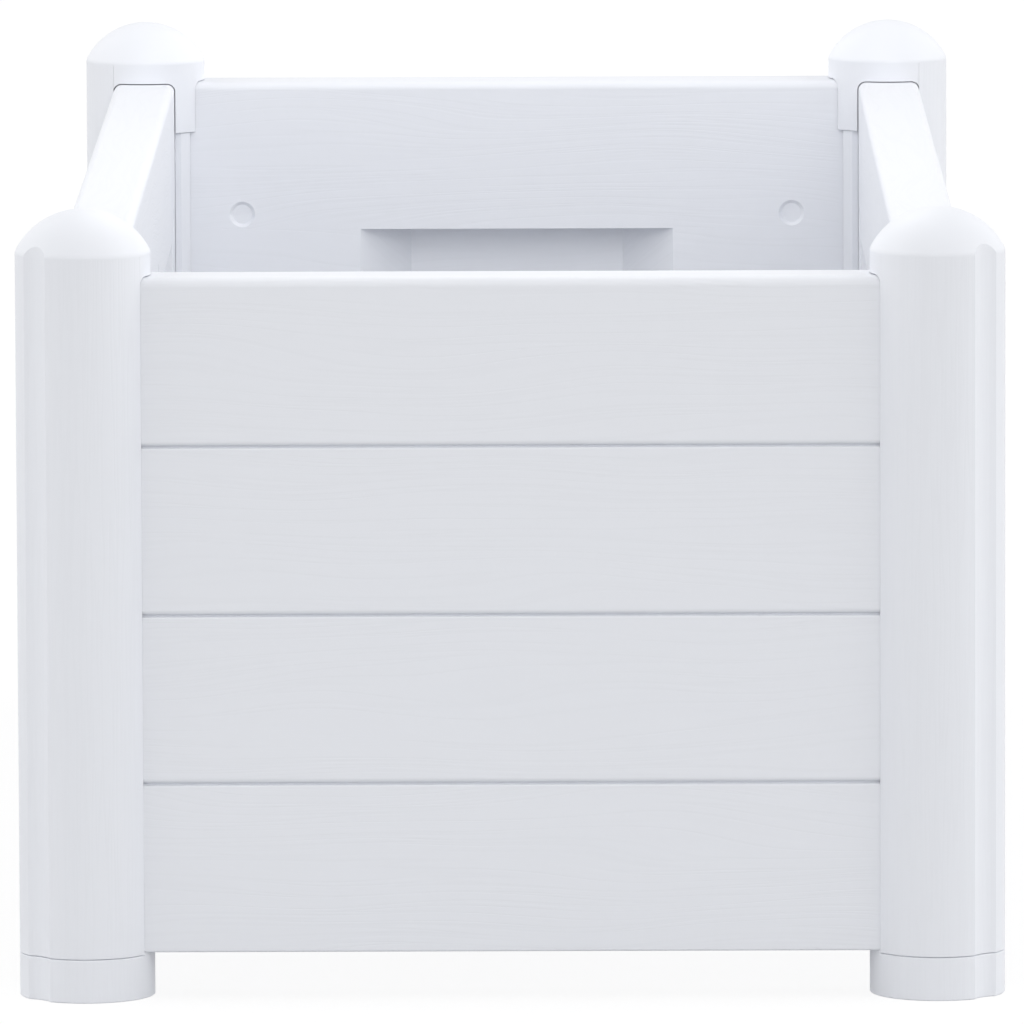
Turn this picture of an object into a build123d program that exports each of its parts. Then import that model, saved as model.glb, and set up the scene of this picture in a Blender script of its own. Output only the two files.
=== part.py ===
from build123d import *
import math
import os

# Raised garden bed. Four hollow plank panels slide down into four round corner posts. Each post stands
# on a foot and is closed by a domed cap. All sizes are in millimetres. The origin is on the ground at
# the middle of the bed, X runs across its short ends, Y along its long sides and Z up.

# Overall sizes
bed_length = 1000.0
bed_width = 430.0

# Corner posts
post_radius = 29.5
post_wall = 2.8
flute_radius = 16.0
flute_depth = 2.2
slot_neck = 3.9
rib_side_gap = 2.9
rib_face = 6.1

# Feet
foot_height = 19.4
foot_wall = 3.0
foot_plate = 3.0
foot_rib = 2.4
foot_spigot_height = 18.0
foot_edge_round = 0.6
seat_step = 0.4
seat_inset = 1.2
panel_pad = 0.8

# Plank panels
panel_thickness = 30.0
panel_height = 295.2
panel_wall = 2.5
edge_round = 4.0
bottom_round = 1.0
plank_count = 4
groove_round = 2.4
groove_edge = 0.7
groove_gap = 0.8
slot_clearance = 0.2
shoulder_clearance = 0.4

# Dovetail tongues on the ends of the panels
tongue_length = 9.6
tongue_root = 9.0
tongue_tip = 13.0
tongue_clearance = 0.3

# Recesses and dimples in the inner faces of the panels
recess_width = 156.0
recess_slope = 45.0
end_recess_count = 1
side_recess_count = 3
dimple_radius = 6.4
dimple_floor = 4.8
dimple_depth = 1.6
dimple_drop = 66.3
dimple_inset = 48.3

# Domed caps
collar_height = 9.5
rim_height = 1.0
dome_rise = 18.5
dome_wall = 3.0
crease_round = 4.0
skirt_wall = 2.5
skirt_clearance = 0.08
arch_gap = 0.5
leg_drop = 24.5
leg_gap = 0.3
cap_spigot_depth = 14.0

# Spigots of the caps and feet inside the posts
spigot_wall = 2.2
spigot_clearance = 0.2

# Heights that follow
panel_bottom = foot_height + panel_pad
panel_top = panel_bottom + panel_height
post_top = panel_top + collar_height
rim_top = post_top + rim_height
leg_bottom = panel_top - leg_drop
rib_top = leg_bottom - leg_gap
plank_height = panel_height / plank_count

# Places that follow, measured from the axis of a post
post_x = bed_width / 2 - post_radius
post_y = bed_length / 2 - post_radius
slot_half = panel_thickness / 2 + slot_clearance
slot_bottom = slot_half + slot_neck
shoulder = slot_bottom + shoulder_clearance
tongue_end = shoulder - tongue_length
rib_side = slot_half + rib_side_gap
rib_corner = rib_side + rib_face / math.sqrt(2)
bore_radius = post_radius - post_wall
spigot_radius = bore_radius - spigot_clearance
spigot_bore = spigot_radius - spigot_wall
flute_offset = (post_radius + flute_radius - flute_depth) / math.sqrt(2)
outside = 2 * post_radius

# Sizes that follow
dome_sphere = (post_radius**2 + dome_rise**2) / (2 * dome_rise)
recess_depth = panel_thickness - 2 * panel_wall
recess_bottom = panel_bottom + plank_height
recess_top = panel_top - plank_height
past = 1.0

# Each corner's side of the bed, and the way that one of its two panels leaves it. The other panel
# leaves a quarter turn further on. The corners are listed counterclockwise.
corners = {
    "front_left": (-1, -1, (1, 0, 0)),
    "front_right": (1, -1, (0, 1, 0)),
    "rear_right": (1, 1, (-1, 0, 0)),
    "rear_left": (-1, 1, (0, -1, 0)),
}

# Each panel, the corner that it starts from, the next one round, and its number of recesses
panels = {
    "end_panel_front": ("front_left", "front_right", end_recess_count),
    "side_panel_right": ("front_right", "rear_right", side_recess_count),
    "end_panel_rear": ("rear_right", "rear_left", end_recess_count),
    "side_panel_left": ("rear_left", "front_left", side_recess_count),
}


def corner_plane(corner, height):
    """A level plane on the axis of a post, with its panels leaving along its own X and Y."""
    side_x, side_y, towards = corners[corner]
    return Plane(origin=(side_x * post_x, side_y * post_y, height), x_dir=towards, z_dir=(0, 0, 1))


def upright_plane(corner):
    """A plane through the axis of a post, with its X along one panel and its Y up."""
    level = corner_plane(corner, 0)
    return Plane(origin=level.origin, x_dir=level.x_dir, z_dir=-level.y_dir)


def both_ways():
    """The two directions in which panels leave a post."""
    return Locations(Location((0, 0, 0), (0, 0, 0)), Location((0, 0, 0), (0, 0, 90)))


def cut_flute(extra):
    """The shallow hollow down the outer corner of a post, with its cut grown by extra."""
    with Locations((-flute_offset, -flute_offset)):
        Circle(flute_radius + extra, mode=Mode.SUBTRACT)


def slots(start, half_width, mode):
    """The channels from start outwards that a panel's full thickness enters."""
    with both_ways():
        with Locations((start, 0)):
            Rectangle(outside, 2 * half_width, align=(Align.MIN, Align.CENTER), mode=mode)


def tongue_outline(extra, mode):
    """The dovetail that locks a panel to a post, grown all round by extra."""
    root = tongue_root / 2 + extra
    tip = tongue_tip / 2 + extra
    Polygon(
        (shoulder + past, -root),
        (tongue_end - extra, -tip),
        (tongue_end - extra, tip),
        (shoulder + past, root),
        align=None,
        mode=mode,
    )


def inner_quarter(start, low, mode):
    """The part of the plan beyond start along one panel, and above low across it, for both panels."""
    Polygon((start, low), (outside, low), (outside, outside), (start, outside), align=None, mode=mode)
    Polygon((low, start), (low, outside), (outside, outside), (outside, start), align=None, mode=mode)


# The open middle of a post, in which the spigots sit
with BuildSketch() as bore_outline:
    Circle(bore_radius)
    cut_flute(post_wall)
    slots(slot_bottom - post_wall, slot_half + post_wall, Mode.SUBTRACT)
    with both_ways():
        tongue_outline(tongue_clearance + post_wall, Mode.SUBTRACT)
    bore_corner = tongue_end - tongue_clearance - post_wall
    with Locations((bore_corner, bore_corner)):
        Rectangle(outside, outside, align=(Align.MIN, Align.MIN), mode=Mode.SUBTRACT)

# The section of a post where the cap's leg stands in front of its inner corner
with BuildSketch() as upper_outline:
    Circle(post_radius)
    cut_flute(0)
    inner_quarter(slot_bottom, -slot_half, Mode.SUBTRACT)
    with both_ways():
        tongue_outline(tongue_clearance, Mode.SUBTRACT)
    add(bore_outline.sketch, mode=Mode.SUBTRACT)

# The section of a post below the leg, where a rib with a flat face fills the inner corner
with BuildSketch() as lower_outline:
    Circle(post_radius)
    cut_flute(0)
    slots(slot_bottom, slot_half, Mode.SUBTRACT)
    with both_ways():
        tongue_outline(tongue_clearance, Mode.SUBTRACT)
    inner_quarter(rib_corner, slot_half, Mode.SUBTRACT)
    Polygon((rib_side, rib_corner), (rib_corner, rib_side), (outside, rib_side), (outside, outside),
            (rib_side, outside), align=None, mode=Mode.SUBTRACT)
    add(bore_outline.sketch, mode=Mode.SUBTRACT)

# The two curved tabs by which a cap or a foot grips the inside of a post
with BuildSketch() as spigot_outline:
    Circle(spigot_radius)
    Circle(spigot_bore, mode=Mode.SUBTRACT)
    cut_flute(post_wall + spigot_clearance + spigot_wall)
    slots(slot_bottom - post_wall - spigot_clearance, slot_half + post_wall + spigot_clearance,
          Mode.SUBTRACT)
    with Locations((bore_corner - spigot_clearance, bore_corner - spigot_clearance)):
        Rectangle(outside, outside, align=(Align.MIN, Align.MIN), mode=Mode.SUBTRACT)

# The part of a cap that stands over the slots and in front of the inner corner
with BuildSketch() as skirt_outline:
    inner_quarter(slot_bottom + skirt_clearance, skirt_clearance - slot_half, Mode.ADD)
    Circle(post_radius, mode=Mode.INTERSECT)
    Circle(post_radius - skirt_wall, mode=Mode.SUBTRACT)

with BuildSketch() as leg_outline:
    inner_quarter(slot_bottom + skirt_clearance, slot_half, Mode.ADD)
    Circle(post_radius, mode=Mode.INTERSECT)
    Circle(post_radius - skirt_wall, mode=Mode.SUBTRACT)

# The low pads of a foot that carry the ends of the panels
with BuildSketch() as pad_outline:
    slots(slot_bottom + skirt_clearance, slot_half - skirt_clearance, Mode.ADD)
    Circle(post_radius, mode=Mode.INTERSECT)
    cut_flute(0)


def make_post(corner):
    """One hollow corner post, open at both ends."""
    with BuildPart() as post:
        with BuildSketch(corner_plane(corner, foot_height)):
            add(lower_outline.sketch)
        extrude(amount=rib_top - foot_height)
        with BuildSketch(corner_plane(corner, rib_top)):
            add(upper_outline.sketch)
        extrude(amount=post_top - rib_top)
    return post


def make_foot(corner):
    """A round foot, hollow underneath, that plugs into the bottom of its post."""
    with BuildPart() as foot:
        with BuildSketch(corner_plane(corner, 0)):
            Circle(post_radius)
            cut_flute(0)
        extrude(amount=foot_height - seat_step)
        fillet(foot.faces().filter_by(Axis.Z).edges(), radius=foot_edge_round)
        with BuildSketch(corner_plane(corner, foot_height - foot_plate)):
            Circle(post_radius - seat_inset)
            cut_flute(seat_inset)
        extrude(amount=foot_plate)
        with BuildSketch(corner_plane(corner, 0)):
            Circle(post_radius - foot_wall)
            cut_flute(foot_wall)
            Rectangle(outside, foot_rib, mode=Mode.SUBTRACT)
            Rectangle(foot_rib, outside, mode=Mode.SUBTRACT)
        extrude(amount=foot_height - foot_plate, mode=Mode.SUBTRACT)
        with BuildSketch(corner_plane(corner, foot_height - seat_step - foot_edge_round)):
            add(pad_outline.sketch)
        extrude(amount=panel_pad + seat_step + foot_edge_round)
        with BuildSketch(corner_plane(corner, foot_height)):
            add(spigot_outline.sketch)
        extrude(amount=foot_spigot_height)
    return foot


def dome_profile(radius, reach, base):
    """Half of a dome of the given sphere radius, out to reach from the axis and down to base."""
    centre = rim_top + dome_rise - dome_sphere
    height = math.sqrt(radius**2 - reach**2)
    with BuildSketch() as profile:
        with BuildLine():
            Polyline((0, centre + radius), (0, base), (reach, base), (reach, centre + height))
            RadiusArc((reach, centre + height), (0, centre + radius), -radius)
        make_face()
    return profile.sketch


def make_cap(corner):
    """A domed cap with a skirt over the panels, a leg down the inner corner and two tabs."""
    level = corner_plane(corner, 0)
    axis = Axis(level.origin, (0, 0, 1))
    with BuildPart() as cap:
        with BuildSketch(upright_plane(corner)) as dome:
            add(dome_profile(dome_sphere, post_radius, post_top))
            fillet(dome.vertices().sort_by(Axis.X)[-2:].sort_by(Axis.Y)[-1], radius=crease_round)
        revolve(axis=axis)
        with BuildSketch(upright_plane(corner)):
            add(dome_profile(dome_sphere - dome_wall, spigot_bore, post_top))
        revolve(axis=axis, mode=Mode.SUBTRACT)
        with BuildSketch(corner_plane(corner, panel_top - edge_round)):
            add(skirt_outline.sketch)
        extrude(amount=edge_round + collar_height)
        with BuildSketch(corner_plane(corner, leg_bottom)):
            add(leg_outline.sketch)
        extrude(amount=post_top - leg_bottom)
        for across, along in ((level.y_dir, level.x_dir), (-level.x_dir, level.y_dir)):
            with BuildSketch(Plane(origin=level.origin, x_dir=across, z_dir=along)) as arch:
                Rectangle(panel_thickness + 2 * arch_gap, panel_top + arch_gap,
                          align=(Align.CENTER, Align.MIN))
                fillet(arch.vertices().group_by(Axis.Y)[-1], radius=edge_round + arch_gap)
            extrude(amount=outside, mode=Mode.SUBTRACT)
        with BuildSketch(corner_plane(corner, post_top)):
            add(spigot_outline.sketch)
        extrude(amount=-cap_spigot_depth)
        with BuildSketch(corner_plane(corner, leg_bottom)):
            with Locations((-flute_offset, -flute_offset)):
                Circle(flute_radius)
        extrude(amount=rim_top + dome_rise - leg_bottom, mode=Mode.SUBTRACT)
    return cap


def plank_section():
    """The outline of a panel's section, with its inner face towards X and its grooves outside."""
    face = -panel_thickness / 2
    with BuildSketch() as section:
        with Locations((0, panel_bottom)):
            Rectangle(panel_thickness, panel_height, align=(Align.CENTER, Align.MIN))
        fillet(section.vertices().group_by(Axis.Y)[-1], radius=edge_round)
        fillet(section.vertices().group_by(Axis.Y)[0], radius=bottom_round)
        for joint in range(1, plank_count):
            middle = panel_bottom + joint * plank_height
            low = middle - groove_gap / 2
            high = middle + groove_gap / 2
            with BuildLine():
                RadiusArc((face, high + groove_round), (face + groove_round, high), -groove_round)
                Line((face + groove_round, high), (face + groove_round, low))
                Line((face + groove_round, low), (face + groove_edge, low))
                RadiusArc((face + groove_edge, low), (face, low - groove_edge), -groove_edge)
                Polyline((face, low - groove_edge), (face - past, low - groove_edge),
                         (face - past, high + groove_round), (face, high + groove_round))
            make_face(mode=Mode.SUBTRACT)
    return section.sketch


def hollow_section():
    """The air space inside a panel, which keeps clear of the grooves."""
    with BuildSketch() as section:
        with Locations((0, panel_bottom + panel_wall)):
            Rectangle(panel_thickness - 2 * panel_wall, panel_height - 2 * panel_wall,
                      align=(Align.CENTER, Align.MIN))
        for joint in range(1, plank_count):
            with Locations((-panel_thickness / 2, panel_bottom + joint * plank_height)):
                Rectangle(2 * (groove_round + panel_wall),
                          groove_gap + 2 * (groove_round + panel_wall), mode=Mode.SUBTRACT)
    return section.sketch


def cut_recess(level, place, wall, depth):
    """A recess between the top and bottom planks, with sloping sides, its cut grown all round by wall."""
    face = panel_thickness / 2
    rim = recess_width / 2 + wall / math.cos(math.radians(recess_slope))
    floor = rim - depth * math.tan(math.radians(recess_slope))
    with BuildSketch(level.offset(recess_bottom - wall)) as outline:
        Polygon((place - rim, face), (place - floor, face - depth), (place + floor, face - depth),
                (place + rim, face), align=None)
    extrude(outline.sketch, amount=recess_top - recess_bottom + 2 * wall, mode=Mode.SUBTRACT)


def cut_dimples(inner_face, places, wall):
    """Shallow round dimples with a flat floor in the inner face, their cut grown all round by wall."""
    with Locations(inner_face):
        with Locations([(place, panel_top - dimple_drop) for place in places]):
            Cone(dimple_radius + wall, dimple_floor + wall, dimple_depth + wall,
                 align=(Align.CENTER, Align.CENTER, Align.MIN), mode=Mode.SUBTRACT)


def make_panel(start, finish, recess_count):
    """One double-walled panel from a post to the next one round."""
    level = corner_plane(start, 0)
    span = abs(corner_plane(finish, 0).origin - level.origin)
    length = span - 2 * shoulder
    bay = span / recess_count
    recesses = [(index + 0.5) * bay for index in range(recess_count)]
    dimples = [dimple_inset] + [index * bay for index in range(1, recess_count)] + [span - dimple_inset]
    inner_face = Plane(origin=level.origin + level.y_dir * panel_thickness / 2, x_dir=level.x_dir,
                       z_dir=-level.y_dir)
    section = Plane(origin=level.origin + level.x_dir * shoulder, x_dir=level.y_dir, z_dir=level.x_dir)

    with BuildPart() as hollow:
        with BuildSketch(section.offset(panel_wall)):
            add(hollow_section())
        extrude(amount=length - 2 * panel_wall)
        for place in recesses:
            cut_recess(level, place, panel_wall, recess_depth + panel_wall + past)
        cut_dimples(inner_face, dimples, panel_wall)

    with BuildPart() as panel:
        with BuildSketch(section):
            add(plank_section())
        extrude(amount=length)
        with BuildSketch(corner_plane(start, panel_bottom)):
            tongue_outline(0, Mode.ADD)
        extrude(amount=panel_height)
        with BuildSketch(corner_plane(finish, panel_bottom)):
            with Locations(Location((0, 0, 0), (0, 0, 90))):
                tongue_outline(0, Mode.ADD)
        extrude(amount=panel_height)
        for place in recesses:
            cut_recess(level, place, 0, recess_depth)
        cut_dimples(inner_face, dimples, 0)
        add(hollow.part, mode=Mode.SUBTRACT)
    return panel


def save(piece, name):
    """Labels a finished piece and writes it."""
    piece.part.label = name
    export_step(piece.part, f"parts/{name}.step")


os.makedirs("parts", exist_ok=True)
for corner_name in corners:
    save(make_post(corner_name), f"post_{corner_name}")
    save(make_foot(corner_name), f"foot_{corner_name}")
    save(make_cap(corner_name), f"cap_{corner_name}")
for panel_name, (first, last, recess_total) in panels.items():
    save(make_panel(first, last, recess_total), panel_name)
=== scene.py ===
import math

import bpy
from bpy.props import FloatProperty, FloatVectorProperty, PointerProperty
from mathutils import Matrix, Vector


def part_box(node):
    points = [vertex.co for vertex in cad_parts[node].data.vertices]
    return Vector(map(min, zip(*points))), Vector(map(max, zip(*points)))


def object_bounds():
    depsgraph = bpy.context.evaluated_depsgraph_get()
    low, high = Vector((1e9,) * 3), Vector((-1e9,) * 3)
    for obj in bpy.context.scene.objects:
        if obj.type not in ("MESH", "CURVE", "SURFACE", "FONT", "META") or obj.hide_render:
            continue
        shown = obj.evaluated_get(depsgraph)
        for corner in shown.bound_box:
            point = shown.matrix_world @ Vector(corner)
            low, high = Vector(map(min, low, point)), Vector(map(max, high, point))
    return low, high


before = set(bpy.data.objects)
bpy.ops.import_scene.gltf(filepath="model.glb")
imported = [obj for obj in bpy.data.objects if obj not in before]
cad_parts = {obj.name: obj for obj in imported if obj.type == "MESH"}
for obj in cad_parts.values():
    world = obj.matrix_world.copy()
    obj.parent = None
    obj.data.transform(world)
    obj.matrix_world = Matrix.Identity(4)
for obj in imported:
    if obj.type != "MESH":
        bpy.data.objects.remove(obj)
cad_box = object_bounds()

bl_info = {
    "name": "Raised Garden Bed",
    "version": (1, 0, 0),
    "blender": (4, 5, 0),
    "location": "View3D > Sidebar > Garden Bed",
    "description": "Gives a plank-panelled garden bed its moulded finishes and a plain studio",
    "category": "Object",
}

CORNERS = ("front_left", "front_right", "rear_right", "rear_left")
END_PANELS = ("end_panel_front", "end_panel_rear")
SIDE_PANELS = ("side_panel_left", "side_panel_right")
PANEL_LOW, PANEL_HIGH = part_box("end_panel_front")
PLANKS = 4

WHITE = (1.0, 1.0, 1.0, 1.0)
WHITE_PLASTIC = (0.818, 0.835, 0.88)
PLASTIC_IOR = 1.49

# Shares of the plastic's colour where it is lightest and darkest
LIGHTEST = 1.008
DARKEST_PLANK = 0.982
DARKEST_UPRIGHT = 0.984
DARKEST_CAP = 0.99

# Sizes of the patterns in the plastic along and across the grain, in metres
BEND_SIZE = (0.21, 0.055)
FIBRE_LENGTH = 0.02
PLANK_PATCH = (0.09, 0.04)
UPRIGHT_PATCH = (0.08, 0.05)
CAP_PATCH = 0.03

# Width of the fibres as a share of the distance between the lines, and the sharpness of the lines
FIBRE_SHARE = 0.3
PLANK_SHARPNESS = 14.0
UPRIGHT_SHARPNESS = 10.0

# The panels' patterns are slices through the noise at this level, shifted by a step from plank to plank
SLICE = 0.5
PLANK_STEP = 7.3

# The sides from which the world shines more: direction, narrowness and the setting of the strength
BRIGHT_SIDES = (
    ((0.0, 0.0, 1.0), 2.0, "sky_light"),
    ((-1.0, 0.0, 0.0), 3.0, "left_light"),
    ((1.0, 0.0, 0.0), 3.0, "right_light"),
)

# The far lamps: name and setting of the strength, then in degrees the turn from the front towards the
# right, the height above the floor and the spread
FAR_LAMPS = (
    ("key_lamp", "key_lamp", 5, 24, 30),
    ("left_lamp", "left_lamp", -75, 20, 60),
    ("right_lamp", "right_lamp", 75, 20, 60),
    ("rim_lamp_left", "rim_lamps", -125, 25, 60),
    ("rim_lamp_right", "rim_lamps", 125, 25, 60),
)

# Size of the soft box as shares of the bed's width and length
BOX_SHARES = (0.8, 0.9)

# The camera's sensor in millimetres, and how far it sees in metres
SENSOR_WIDTH = 36.0
SIGHT = 200.0


class Wire:
    """One value in a material. Python's operators on it add the nodes that work it out."""

    def __init__(self, shader, socket):
        self.shader = shader
        self.socket = socket

    def maths(self, operation, first, second):
        return self.shader.node("ShaderNodeMath", {"operation": operation}, {0: first, 1: second})

    def __add__(self, other):
        return self.maths("ADD", self, other)

    def __radd__(self, other):
        return self.maths("ADD", other, self)

    def __sub__(self, other):
        return self.maths("SUBTRACT", self, other)

    def __rsub__(self, other):
        return self.maths("SUBTRACT", other, self)

    def __mul__(self, other):
        return self.maths("MULTIPLY", self, other)

    def __rmul__(self, other):
        return self.maths("MULTIPLY", other, self)

    def __truediv__(self, other):
        return self.maths("DIVIDE", self, other)

    def __pow__(self, other):
        return self.maths("POWER", self, other)

    def __abs__(self):
        return self.maths("ABSOLUTE", self, 0.0)

    def floor(self):
        return self.maths("FLOOR", self, 0.0)

    def clamp(self, low, high):
        return self.maths("MINIMUM", self.maths("MAXIMUM", self, low), high)


class Shader:
    """The nodes of one material, or of the world."""

    def __init__(self, owner):
        owner.use_nodes = True
        self.tree = owner.node_tree
        self.tree.nodes.clear()

    def node(self, kind, settings=None, sockets=None, output=0):
        """Adds a node, its settings first and then the values or wires of its sockets."""
        made = self.tree.nodes.new(kind)
        for name, value in (settings or {}).items():
            setattr(made, name, value)
        for name, value in (sockets or {}).items():
            if isinstance(value, Wire):
                self.tree.links.new(value.socket, made.inputs[name])
            else:
                made.inputs[name].default_value = value
        return Wire(self, made.outputs[output]) if made.outputs else None

    def place(self):
        """The three coordinates of a point on the bed, in metres."""
        point = self.node("ShaderNodeTexCoord", output="Object")
        return [self.node("ShaderNodeSeparateXYZ", sockets={0: point}, output=axis) for axis in "XYZ"]

    def noise(self, x, y, z, detail):
        """Smooth noise from 0 to 1, at a point given in sizes of its pattern."""
        point = self.node("ShaderNodeCombineXYZ", sockets={"X": x, "Y": y, "Z": z})
        return self.node("ShaderNodeTexNoise", sockets={"Vector": point, "Scale": 1.0, "Detail": detail,
                                                        "Roughness": 0.5}, output="Fac")

    def blend(self, amount, first, second):
        """A colour that goes from first to second."""
        return self.node("ShaderNodeMix", {"data_type": "RGBA"}, {0: amount, 6: first, 7: second}, 2)

    def facing(self, side):
        """How far a direction of the world lies towards one side, from 0 to 1."""
        direction = self.node("ShaderNodeTexCoord", output="Generated")
        share = self.node("ShaderNodeVectorMath", {"operation": "DOT_PRODUCT"}, {0: direction, 1: side},
                          "Value")
        return share.clamp(0.0, 1.0)

    def seen(self):
        """1 for the rays of the camera, of reflections and through glass, otherwise 0."""
        camera, glossy, through = [self.node("ShaderNodeLightPath", output=f"Is {kind} Ray")
                                   for kind in ("Camera", "Glossy", "Transmission")]
        return (camera + glossy + through).clamp(0.0, 1.0)

    def plastic(self, colour, roughness, relief):
        """A moulded plastic, with its relief in metres."""
        normal = self.node("ShaderNodeBump", sockets={"Strength": 1.0, "Distance": 1.0, "Height": relief})
        surface = self.node("ShaderNodeBsdfPrincipled",
                            sockets={"Base Color": colour, "Roughness": roughness, "Normal": normal,
                                     "IOR": PLASTIC_IOR})
        self.node("ShaderNodeOutputMaterial", sockets={"Surface": surface})


def tint(colour, share):
    """A colour made lighter or darker by a share."""
    return [channel * share for channel in colour] + [1.0]


def crease(noise, sharpness):
    """1 along the middle level of a noise, falling to 0 on both sides, which makes thin winding lines."""
    return (1.0 - abs(noise - 0.5) * sharpness).clamp(0.0, 1.0)


def plank_plastic(name, finish, along):
    """White plastic pressed with a wood grain that runs along each plank."""
    material = bpy.data.materials.new(name)
    shader = Shader(material)
    place = shader.place()
    length, across, height = place[along], place[1 - along], place[2]
    plank_height = (PANEL_HIGH.z - PANEL_LOW.z) / PLANKS
    plank = ((height - PANEL_LOW.z) / plank_height).floor().clamp(0.0, PLANKS - 1.0)
    shift = plank * PLANK_STEP
    girth = height + across
    bend_length, bend_width = BEND_SIZE
    bend = shader.noise(length / bend_length + shift, girth / bend_width, SLICE, 1.0)
    line = girth + bend * finish.grain_bend
    width = finish.grain_width
    rings = crease(shader.noise(length / finish.grain_length + shift, line / width, SLICE, 1.0),
                   PLANK_SHARPNESS)
    fibres = shader.noise(length / FIBRE_LENGTH + shift, line / (FIBRE_SHARE * width), SLICE, 2.0)
    relief = ((fibres - 0.5) * 0.7 - rings * 0.8) * finish.grain_depth
    patch_length, patch_width = PLANK_PATCH
    patch = shader.noise(length / patch_length + shift, girth / patch_width, SLICE, 2.0)
    shade = rings * 0.3 + (1.0 - fibres) * 0.35 + patch * 0.3
    colour = shader.blend(shade, tint(finish.colour, LIGHTEST), tint(finish.colour, DARKEST_PLANK))
    roughness = finish.roughness + (fibres - 0.5) * 0.1 + rings * 0.05 + (patch - 0.5) * 0.06
    shader.plastic(colour, roughness, relief)
    return material


def upright_plastic(name, finish):
    """White plastic with a fine upright grain, for the posts and feet."""
    material = bpy.data.materials.new(name)
    shader = Shader(material)
    x, y, z = shader.place()
    width = finish.grain_width
    fibre_width = FIBRE_SHARE * width
    patch_length, patch_width = UPRIGHT_PATCH
    lines = crease(shader.noise(x / width, y / width, z / finish.grain_length, 1.0), UPRIGHT_SHARPNESS)
    fibres = shader.noise(x / fibre_width, y / fibre_width, z / FIBRE_LENGTH, 2.0)
    patch = shader.noise(x / patch_width, y / patch_width, z / patch_length, 2.0)
    relief = ((fibres - 0.5) * 0.5 - lines) * finish.grain_depth
    shade = lines * 0.4 + (1.0 - fibres) * 0.3 + patch * 0.3
    colour = shader.blend(shade, tint(finish.colour, LIGHTEST), tint(finish.colour, DARKEST_UPRIGHT))
    roughness = finish.roughness + (fibres - 0.5) * 0.1 + (patch - 0.5) * 0.06
    shader.plastic(colour, roughness, relief)
    return material


def smooth_plastic(name, finish):
    """Smooth satin white plastic with a faint moulded texture, for the caps."""
    material = bpy.data.materials.new(name)
    shader = Shader(material)
    x, y, z = shader.place()
    width = finish.grain_width
    peel = shader.noise(x / width, y / width, z / width, 2.0)
    patch = shader.noise(x / CAP_PATCH, y / CAP_PATCH, z / CAP_PATCH, 2.0)
    relief = (peel - 0.5) * finish.grain_depth
    colour = shader.blend(patch, tint(finish.colour, DARKEST_CAP), tint(finish.colour, LIGHTEST))
    roughness = finish.roughness + (patch - 0.5) * 0.1
    shader.plastic(colour, roughness, relief)
    return material


def finish_nodes(names, material):
    """Gives pieces of the bed one finish."""
    for name in names:
        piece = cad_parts[name]
        piece.data.materials.clear()
        piece.data.materials.append(material)


def colour_property(what, default):
    """A colour that a user may change."""
    return FloatVectorProperty(name=f"{what} colour", description=f"Colour of the {what}", subtype="COLOR",
                               size=3, min=0.0, max=1.0, default=default)


def share_property(name, description, default):
    """A number from 0 to 1."""
    return FloatProperty(name=name, description=description, subtype="FACTOR", min=0.0, max=1.0,
                         default=default)


def size_property(name, description, default):
    """A length in metres."""
    return FloatProperty(name=name, description=description, subtype="DISTANCE", unit="LENGTH", min=0.0,
                         precision=5, default=default)


def light_property(name, description, default):
    """The strength of a light."""
    return FloatProperty(name=name, description=description, min=0.0, precision=3, default=default)


class PanelFinish(bpy.types.PropertyGroup):
    """Finish of the plank panels."""

    colour: colour_property("panels", WHITE_PLASTIC)
    roughness: share_property("Roughness", "Roughness of the panels", 0.5)
    grain_depth: size_property("Grain depth", "Depth of the pressed wood grain", 0.00004)
    grain_width: size_property("Grain width", "Distance between the lines of the grain", 0.0038)
    grain_length: size_property("Grain length", "Length of one line of the grain", 0.16)
    grain_bend: size_property("Grain bend", "How far the lines of the grain wander", 0.045)


class PostFinish(bpy.types.PropertyGroup):
    """Finish of the corner posts."""

    colour: colour_property("posts", WHITE_PLASTIC)
    roughness: share_property("Roughness", "Roughness of the posts", 0.5)
    grain_depth: size_property("Grain depth", "Height of the fine upright grain", 0.00002)
    grain_width: size_property("Grain width", "Distance between the lines of the grain", 0.0026)
    grain_length: size_property("Grain length", "Length of one line of the grain", 0.08)


class FootFinish(bpy.types.PropertyGroup):
    """Finish of the feet."""

    colour: colour_property("feet", WHITE_PLASTIC)
    roughness: share_property("Roughness", "Roughness of the feet", 0.5)
    grain_depth: size_property("Grain depth", "Height of the fine upright grain", 0.00002)
    grain_width: size_property("Grain width", "Distance between the lines of the grain", 0.0026)
    grain_length: size_property("Grain length", "Length of one line of the grain", 0.05)


class CapFinish(bpy.types.PropertyGroup):
    """Finish of the domed caps."""

    colour: colour_property("caps", WHITE_PLASTIC)
    roughness: share_property("Roughness", "Roughness of the caps", 0.42)
    grain_depth: size_property("Texture depth", "Height of the faint moulded texture", 0.00001)
    grain_width: size_property("Texture size", "Size of the faint moulded texture", 0.0015)


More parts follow.
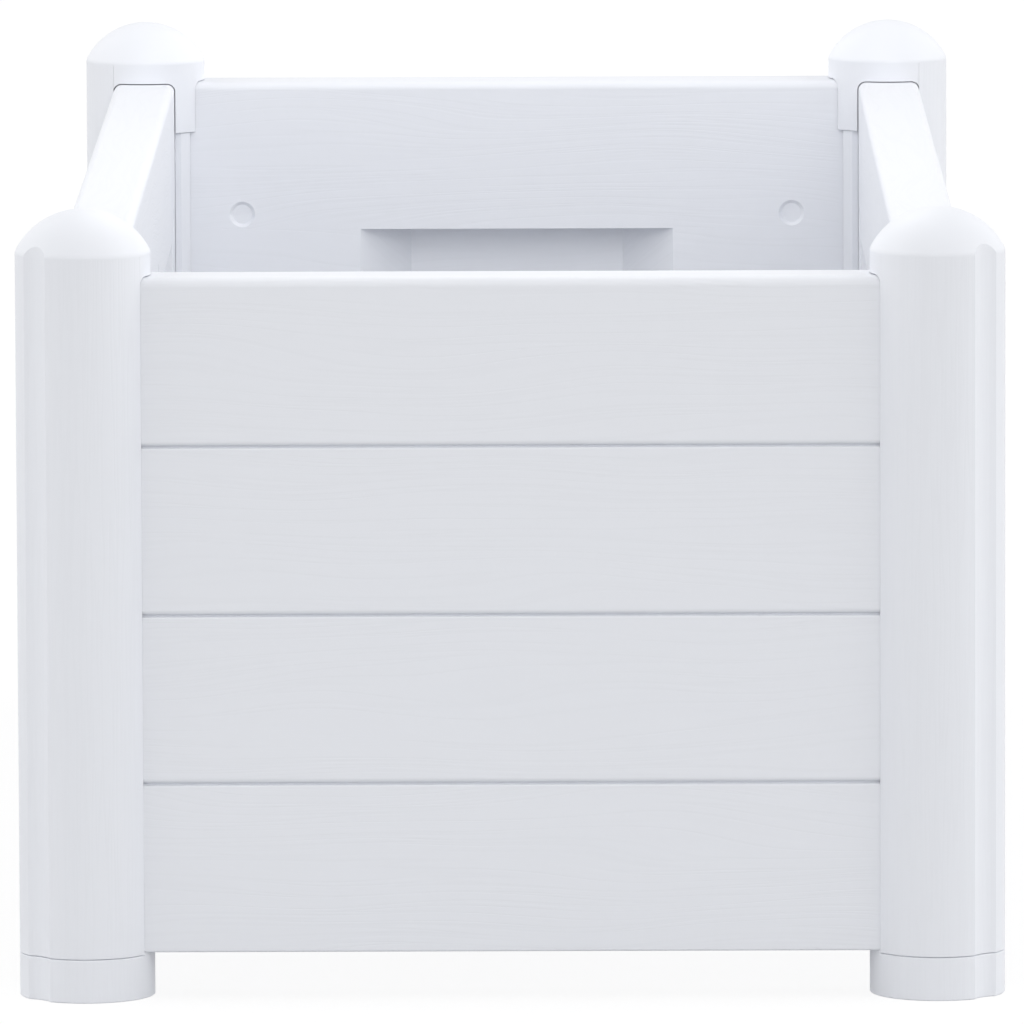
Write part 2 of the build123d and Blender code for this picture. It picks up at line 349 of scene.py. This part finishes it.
class StudioSettings(bpy.types.PropertyGroup):
    """The floor, the light and the camera."""

    floor_size: size_property("Floor size", "Length of each side of the floor", 80.0)
    floor_colour: colour_property("floor", (0.62, 0.62, 0.62))
    floor_glow: share_property("Floor glow", "Share of the floor's look that stays white in shadow", 0.72)
    floor_white: light_property("Floor white", "Brightness of the floor's white look", 1.18)
    even_light: light_property("Even light", "Strength of the light from all round", 0.39)
    sky_light: light_property("Sky light", "Strength of the broad light from above", 0.22)
    left_light: light_property("Left light", "Strength of the broad light from the left", 0.47)
    right_light: light_property("Right light", "Strength of the broad light from the right", 0.55)
    key_lamp: light_property("Key lamp", "Strength of the lamp in front", 0.62)
    left_lamp: light_property("Left lamp", "Strength of the lamp at the left", 0.7)
    right_lamp: light_property("Right lamp", "Strength of the lamp at the right", 0.84)
    rim_lamps: light_property("Rim lamps", "Strength of each of the two lamps behind", 0.42)
    box_lamp: light_property("Box lamp", "Watts of the soft box above the open middle", 0.95)
    box_height: size_property("Box height", "Height of the soft box above the floor", 0.8)
    camera_place: FloatVectorProperty(name="Camera place", description="Where the camera stands",
                                      subtype="TRANSLATION", unit="LENGTH", size=3,
                                      default=(0.0230, -6.5731, 0.9512))
    camera_turn: FloatProperty(name="Camera turn", description="Turn of the camera to the left",
                               subtype="ANGLE", default=0.00369)
    camera_dip: FloatProperty(name="Camera dip", description="Angle that the camera looks down",
                              subtype="ANGLE", default=0.12067)
    camera_roll: FloatProperty(name="Camera roll", description="Roll of the camera",
                               subtype="ANGLE", default=-0.00362)
    camera_lens: FloatProperty(name="Camera lens", description="Focal length in millimetres",
                               min=1.0, default=496.9)


class GardenBedSettings(bpy.types.PropertyGroup):
    """Everything that a user may change."""

    panel: PointerProperty(type=PanelFinish)
    post: PointerProperty(type=PostFinish)
    foot: PointerProperty(type=FootFinish)
    cap: PointerProperty(type=CapFinish)
    studio: PointerProperty(type=StudioSettings)


class GARDENBED_OT_panels(bpy.types.Operator):
    """Finish the four plank panels, with the grain along each"""

    bl_idname = "gardenbed.panels"
    bl_label = "Finish Panels"

    def execute(self, context):
        finish = context.scene.garden_bed.panel
        finish_nodes(END_PANELS, plank_plastic("end_panel_plastic", finish, 0))
        finish_nodes(SIDE_PANELS, plank_plastic("side_panel_plastic", finish, 1))
        return {"FINISHED"}


class GARDENBED_OT_posts(bpy.types.Operator):
    """Finish the four corner posts"""

    bl_idname = "gardenbed.posts"
    bl_label = "Finish Posts"

    def execute(self, context):
        finish = context.scene.garden_bed.post
        finish_nodes([f"post_{corner}" for corner in CORNERS], upright_plastic("post_plastic", finish))
        return {"FINISHED"}


class GARDENBED_OT_feet(bpy.types.Operator):
    """Finish the four feet"""

    bl_idname = "gardenbed.feet"
    bl_label = "Finish Feet"

    def execute(self, context):
        finish = context.scene.garden_bed.foot
        finish_nodes([f"foot_{corner}" for corner in CORNERS], upright_plastic("foot_plastic", finish))
        return {"FINISHED"}


class GARDENBED_OT_caps(bpy.types.Operator):
    """Finish the four domed caps"""

    bl_idname = "gardenbed.caps"
    bl_label = "Finish Caps"

    def execute(self, context):
        finish = context.scene.garden_bed.cap
        finish_nodes([f"cap_{corner}" for corner in CORNERS], smooth_plastic("cap_plastic", finish))
        return {"FINISHED"}


def lay_floor(studio):
    """A pale floor that shows near white away from the bed's shadow."""
    half = studio.floor_size / 2
    mesh = bpy.data.meshes.new("floor")
    mesh.from_pydata([(-half, -half, 0), (half, -half, 0), (half, half, 0), (-half, half, 0)], [],
                     [(0, 1, 2, 3)])
    floor = bpy.data.objects.new("floor", mesh)
    bpy.context.scene.collection.objects.link(floor)
    material = bpy.data.materials.new("floor_paper")
    shader = Shader(material)
    paper = shader.node("ShaderNodeBsdfDiffuse", sockets={"Color": tint(studio.floor_colour, 1.0)})
    white = shader.node("ShaderNodeEmission", sockets={"Color": WHITE, "Strength": studio.floor_white})
    share = shader.seen() * studio.floor_glow
    surface = shader.node("ShaderNodeMixShader", sockets={0: share, 1: paper, 2: white})
    shader.node("ShaderNodeOutputMaterial", sockets={"Surface": surface})
    mesh.materials.append(material)


def light_world(studio):
    """Soft light from all round, stronger from some sides, in front of a plain white background."""
    world = bpy.data.worlds.new("studio")
    bpy.context.scene.world = world
    shader = Shader(world)
    light = studio.even_light
    for side, narrowness, setting in BRIGHT_SIDES:
        light = light + shader.facing(side) ** narrowness * getattr(studio, setting)
    seen = shader.seen()
    strength = seen + (1.0 - seen) * light
    background = shader.node("ShaderNodeBackground", sockets={"Color": WHITE, "Strength": strength})
    shader.node("ShaderNodeOutputWorld", sockets={"Surface": background})


def hang_lamp(name, strength, turn, height, spread):
    """A broad far lamp, turned from the front towards the right and raised, with its angles in degrees."""
    turn, height = math.radians(turn), math.radians(height)
    lamp = bpy.data.lights.new(name, "SUN")
    lamp.energy = strength
    lamp.angle = math.radians(spread)
    holder = bpy.data.objects.new(name, lamp)
    level = math.cos(height)
    towards = Vector((math.sin(turn) * level, -math.cos(turn) * level, math.sin(height)))
    holder.rotation_mode = "QUATERNION"
    holder.rotation_quaternion = towards.to_track_quat("Z", "Y")
    bpy.context.scene.collection.objects.link(holder)


def hang_box(watts, height):
    """A soft box above the bed, as large as its open middle, that lights the inside."""
    lamp = bpy.data.lights.new("box_lamp", "AREA")
    lamp.shape = "RECTANGLE"
    low, high = cad_box
    width_share, length_share = BOX_SHARES
    lamp.size = width_share * (high[0] - low[0])
    lamp.size_y = length_share * (high[1] - low[1])
    lamp.energy = watts
    holder = bpy.data.objects.new("box_lamp", lamp)
    holder.location = (0.0, 0.0, height)
    holder.visible_camera = False
    bpy.context.scene.collection.objects.link(holder)


def set_camera(studio):
    """The camera at the photograph's viewing angle."""
    turn, dip, roll = studio.camera_turn, studio.camera_dip, studio.camera_roll
    ahead = Vector((-math.sin(turn) * math.cos(dip), math.cos(turn) * math.cos(dip), -math.sin(dip)))
    level = Vector((math.cos(turn), math.sin(turn), 0.0))
    upright = level.cross(ahead)
    right = math.cos(roll) * level + math.sin(roll) * upright
    up = math.cos(roll) * upright - math.sin(roll) * level
    camera = bpy.data.cameras.new("camera")
    camera.sensor_width = SENSOR_WIDTH
    camera.lens = studio.camera_lens
    camera.clip_end = SIGHT
    holder = bpy.data.objects.new("camera", camera)
    turned = Matrix((right, up, -ahead)).transposed().to_4x4()
    holder.matrix_world = Matrix.Translation(studio.camera_place) @ turned
    bpy.context.scene.collection.objects.link(holder)
    bpy.context.scene.camera = holder


class GARDENBED_OT_studio(bpy.types.Operator):
    """Set the floor, the light and the camera"""

    bl_idname = "gardenbed.studio"
    bl_label = "Set Studio"

    def execute(self, context):
        studio = context.scene.garden_bed.studio
        lay_floor(studio)
        light_world(studio)
        for name, setting, turn, height, spread in FAR_LAMPS:
            hang_lamp(name, getattr(studio, setting), turn, height, spread)
        hang_box(studio.box_lamp, studio.box_height)
        set_camera(studio)
        context.scene.view_settings.view_transform = "Standard"
        return {"FINISHED"}


class GARDENBED_PT_sidebar(bpy.types.Panel):
    """Garden bed"""

    bl_idname = "GARDENBED_PT_sidebar"
    bl_label = "Garden Bed"
    bl_space_type = "VIEW_3D"
    bl_region_type = "UI"
    bl_category = "Garden Bed"

    def draw(self, context):
        settings = context.scene.garden_bed
        for operator in OPERATORS:
            self.layout.operator(operator.bl_idname)
        for group in ("panel", "post", "foot", "cap", "studio"):
            box = self.layout.box()
            for name in getattr(settings, group).__annotations__:
                box.prop(getattr(settings, group), name)


OPERATORS = (GARDENBED_OT_panels, GARDENBED_OT_posts, GARDENBED_OT_feet, GARDENBED_OT_caps,
             GARDENBED_OT_studio)
CLASSES = (PanelFinish, PostFinish, FootFinish, CapFinish, StudioSettings, GardenBedSettings,
           *OPERATORS, GARDENBED_PT_sidebar)


def register():
    for each in CLASSES:
        bpy.utils.register_class(each)
    bpy.types.Scene.garden_bed = PointerProperty(type=GardenBedSettings)


def unregister():
    del bpy.types.Scene.garden_bed
    for each in reversed(CLASSES):
        bpy.utils.unregister_class(each)


def main():
    register()
    bpy.ops.gardenbed.panels()
    bpy.ops.gardenbed.posts()
    bpy.ops.gardenbed.feet()
    bpy.ops.gardenbed.caps()
    bpy.ops.gardenbed.studio()


if __name__ == "__main__":
    main()
